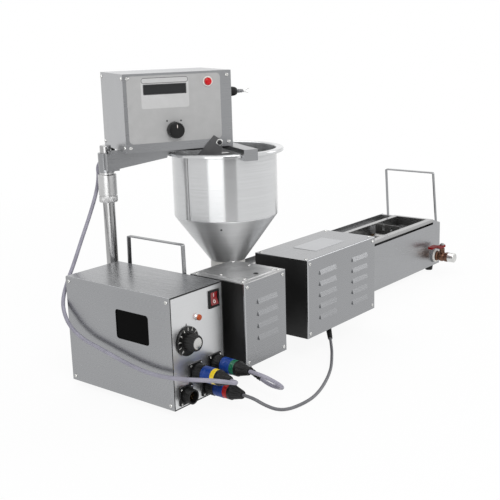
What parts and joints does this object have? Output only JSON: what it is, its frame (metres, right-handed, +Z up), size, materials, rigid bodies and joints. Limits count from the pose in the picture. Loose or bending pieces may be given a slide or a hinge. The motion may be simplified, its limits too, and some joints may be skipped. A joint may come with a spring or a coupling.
{
  "type": "donut machine",
  "caption": "Tabletop donut fryer: long steel oil bath, front drive boxes, control box with plug-in cables, and a dough hopper under a dosing head that swings on a post.",
  "frame": {"origin": "middle of the footprint on the floor, measured without the cables and their plugs", "axes": "+X along the bath from the control box to the drain end, +Y to the back, +Z up"},
  "size_m": [1.0106, 0.4351, 0.4962],
  "materials": {
    "brushed_stainless": "brushed stainless sheet",
    "polished_stainless": "polished stainless sheet and rod",
    "bath_steel": "stainless, dulled by hot oil",
    "painted_black": "satin black paint",
    "panel_white": "pale front panel",
    "black_plastic": "black moulded plastic",
    "black_rubber": "black rubber",
    "red_plastic": "glossy red plastic",
    "amber_lens": "clear amber lens",
    "chrome_trim": "chromed trim",
    "smoked_pane": "smoked pane",
    "display_glass": "green backlit display",
    "blue_plastic": "blue coupling sleeve",
    "ring_colour": "coloured code ring: yellow, green or red",
    "grey_sheath": "grey cable sheath",
    "white_plastic": "white food-grade plastic",
    "valve_brass": "brass, browned by use",
    "bronze_bush": "sintered bronze",
    "dark_steel": "dark steel",
    "motor_grey": "grey painted motor housing",
    "lever_red": "red coated steel",
    "clear_cap": "pale plated outlet cap",
    "plated_screw": "zinc plated"
  },
  "bodies": {
    "machine": {"control_cover": "brushed_stainless", "control_base": "brushed_stainless", "control_face": "panel_white", "control_window": "smoked_pane", "rocker_bezel": "black_plastic", "lamp_bezel": "chrome_trim", "lamp_lens": "amber_lens", "thermostat": "motor_grey", "panel_sockets": "black_plastic", "cable_plugs": "black_plastic", "plug_bands": "blue_plastic", "plug_rings": "ring_colour", "trough_casing": "polished_stainless", "bath": "bath_steel", "left_handle": "polished_stainless", "right_handle": "polished_stainless", "rubber_feet": "black_rubber", "heating_element": "dark_steel", "drain_pipe": "polished_stainless", "valve_body": "valve_brass", "drain_cap": "clear_cap", "drive_chain": "dark_steel", "shaft_bushes": "bronze_bush", "exit_ramp": "bath_steel", "terminal_box_case": "painted_black", "terminal_box_cover": "polished_stainless", "terminal_box_lid": "polished_stainless", "drive_box_case": "painted_black", "drive_box_cover": "polished_stainless", "gear_motor": "motor_grey", "cable_glands": "black_rubber", "post_bracket": "polished_stainless", "post": "polished_stainless", "lock_collar": "polished_stainless", "panel_screws": "plated_screw", "head_cable": "grey_sheath", "heater_cable": "grey_sheath", "drive_cable": "grey_sheath"},
    "dosing_arm": {"swing_arm": "brushed_stainless", "hopper": "polished_stainless", "dispenser_cylinder": "white_plastic", "head_case": "brushed_stainless", "head_panel": "panel_white", "display_window": "display_glass", "button_bezel": "chrome_trim", "head_gland": "black_rubber", "head_screws": "plated_screw", "dosing_motor": "motor_grey", "guide_plate": "dark_steel"},
    "plunger_rod": {"plunger": "polished_stainless"},
    "dose_knob": {"head_knob": "black_plastic"},
    "start_key": {"start_button": "red_plastic"},
    "power_rocker": {"rocker_switch": "red_plastic"},
    "temperature_dial": {"dial_knob": "black_plastic"},
    "drain_lever": {"valve_stem": "plated_screw", "valve_lever": "lever_red"},
    "flipper": {"flipper_wheel": "polished_stainless", "flipper_sprocket": "dark_steel"},
    "ejector": {"ejector_wheel": "polished_stainless", "ejector_sprocket": "dark_steel"}
  },
  "joints": [
    {"name": "arm_swivel", "type": "hinge", "parent": "machine", "child": "dosing_arm", "pos_m": [-0.37525, 0.11407, 0.3345], "axis": [0, 0, 1], "range_deg": [0, 75], "deforming": ["head_cable"]},
    {"name": "plunger_slide", "type": "slide", "parent": "dosing_arm", "child": "plunger_rod", "axis": [0, 0, 1], "range_m": [-0.014, 0]},
    {"name": "dose_knob_turn", "type": "hinge", "parent": "dosing_arm", "child": "dose_knob", "pos_m": [-0.32258, 0.00397, 0.4045], "axis": [0.4756, 0.8796, 0], "range_deg": [-150, 150]},
    {"name": "start_press", "type": "slide", "parent": "dosing_arm", "child": "start_key", "axis": [0.4756, 0.8796, 0], "range_m": [0, 0.0025], "stiffness_N_per_m": 300},
    {"name": "power_tilt", "type": "hinge", "parent": "machine", "child": "power_rocker", "pos_m": [-0.40075, -0.13293, 0.1617], "axis": [1, 0, 0], "range_deg": [0, 14]},
    {"name": "temperature_turn", "type": "hinge", "parent": "machine", "child": "temperature_dial", "pos_m": [-0.46375, -0.13593, 0.1115], "axis": [0, 1, 0], "range_deg": [0, 270]},
    {"name": "drain_turn", "type": "hinge", "parent": "machine", "child": "drain_lever", "pos_m": [0.47175, -0.07548, 0.035], "axis": [0, 0, 1], "range_deg": [0, 90]},
    {"name": "flipper_spin", "type": "hinge", "parent": "machine", "child": "flipper", "pos_m": [-0.06595, -0.00393, 0.092], "axis": [0, 1, 0], "continuous": true},
    {"name": "ejector_spin", "type": "hinge", "parent": "machine", "child": "ejector", "pos_m": [0.34425, -0.00393, 0.092], "axis": [0, 1, 0], "continuous": true}
  ],
  "couplings": [
    {"joint": "ejector_spin", "follows": "flipper_spin", "ratio": 1}
  ]
}
